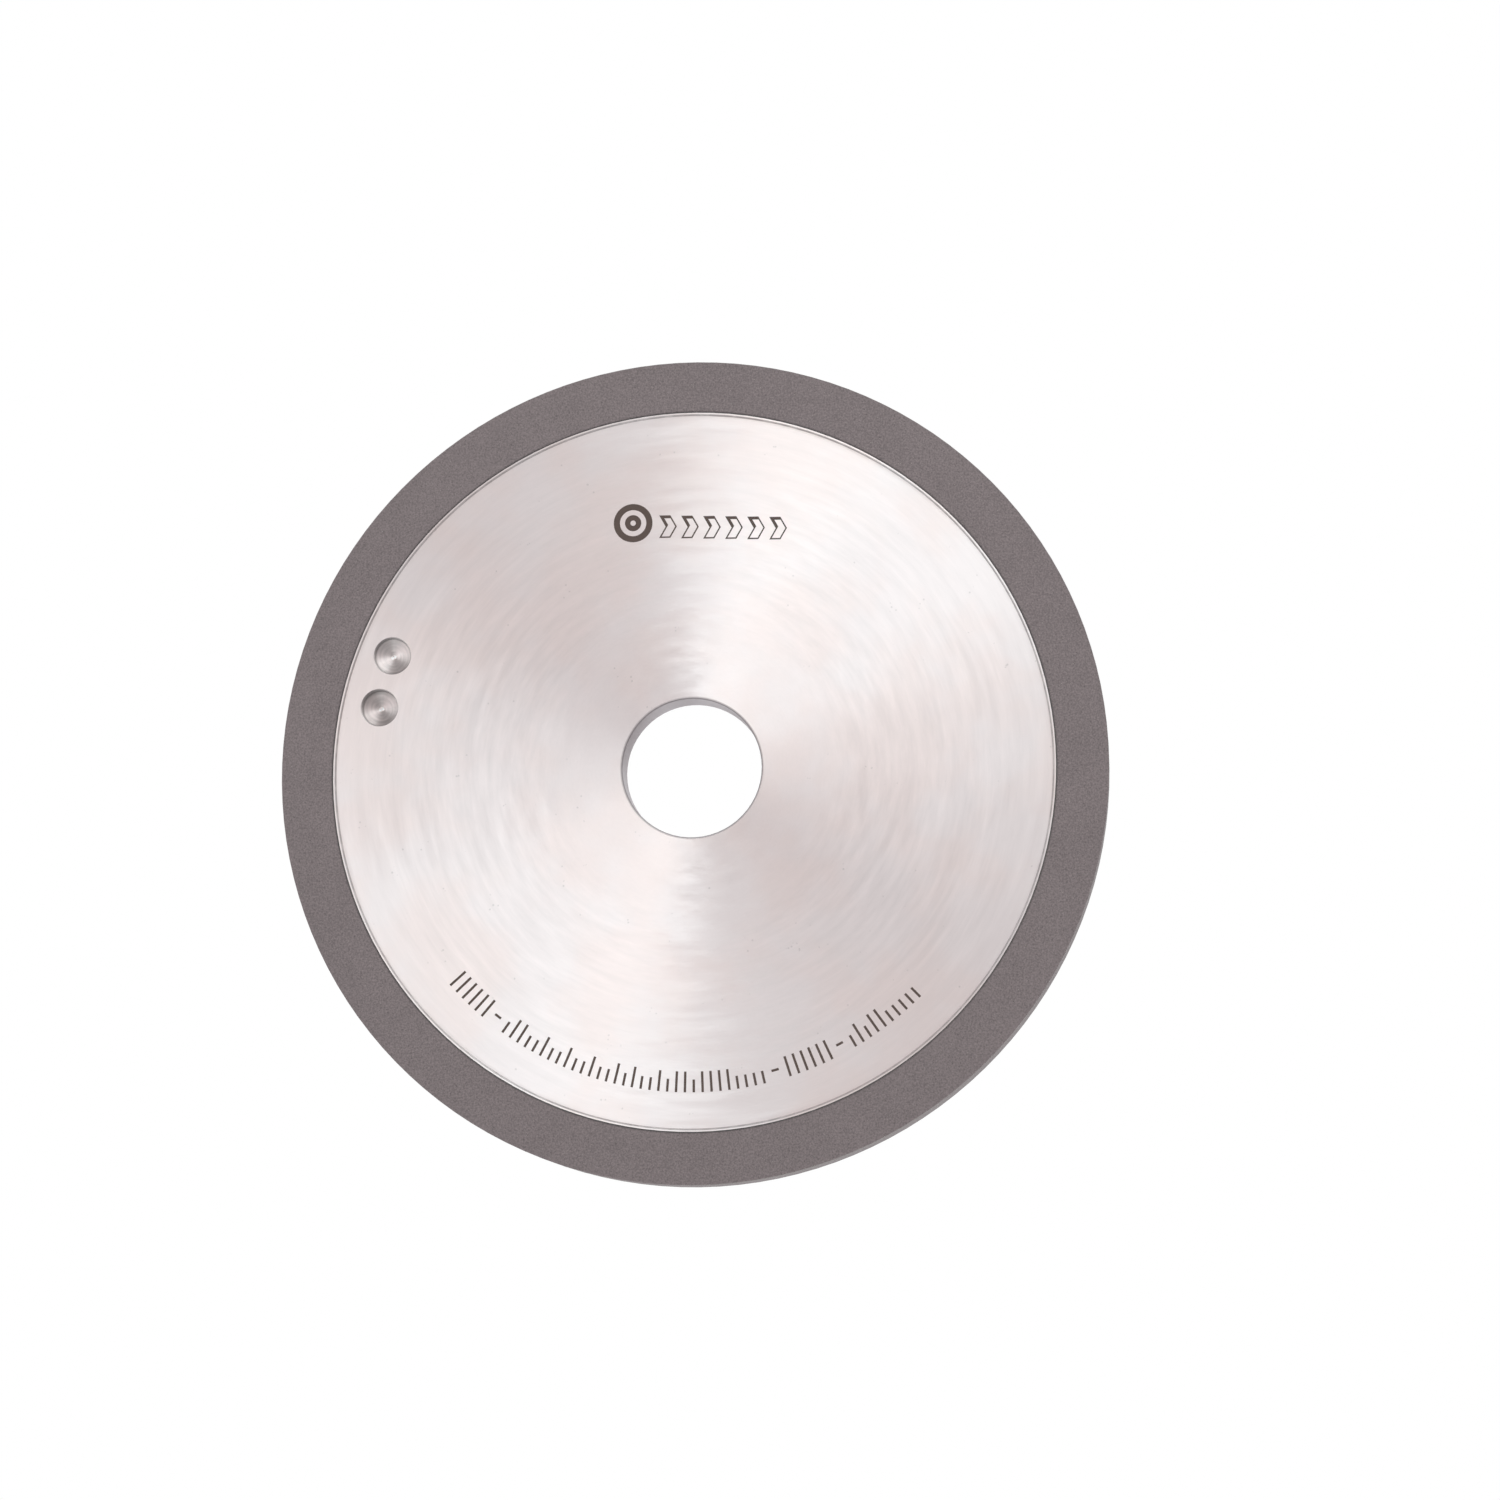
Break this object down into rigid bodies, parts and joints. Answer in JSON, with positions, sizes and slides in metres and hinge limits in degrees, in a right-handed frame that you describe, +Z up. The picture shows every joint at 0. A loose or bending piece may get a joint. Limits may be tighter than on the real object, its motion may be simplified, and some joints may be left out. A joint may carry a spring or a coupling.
{
  "type": "diamond grinding wheel",
  "caption": "Peripheral diamond grinding wheel: flat steel body with a spindle bore and two blind balance holes, glue line and a bonded diamond rim.",
  "frame": {"origin": "centre of the spindle bore at the middle of the wheel's width", "axes": "+Y along the spindle axis, away from the marked side; +Z up through the marks at the top of the face; +X to the right when the marked side is looked at"},
  "size_m": [0.19, 0.0102, 0.19],
  "materials": {
    "ground_steel": "ground steel with a fine circular lay, satin",
    "epoxy": "thin dark adhesive line, matte",
    "diamond_bond": "matte warm grey bond with a fine speckle of abrasive grains"
  },
  "bodies": {
    "root": {"steel_body": "ground_steel", "glue_line": "epoxy", "diamond_rim": "diamond_bond"}
  },
  "joints": []
}
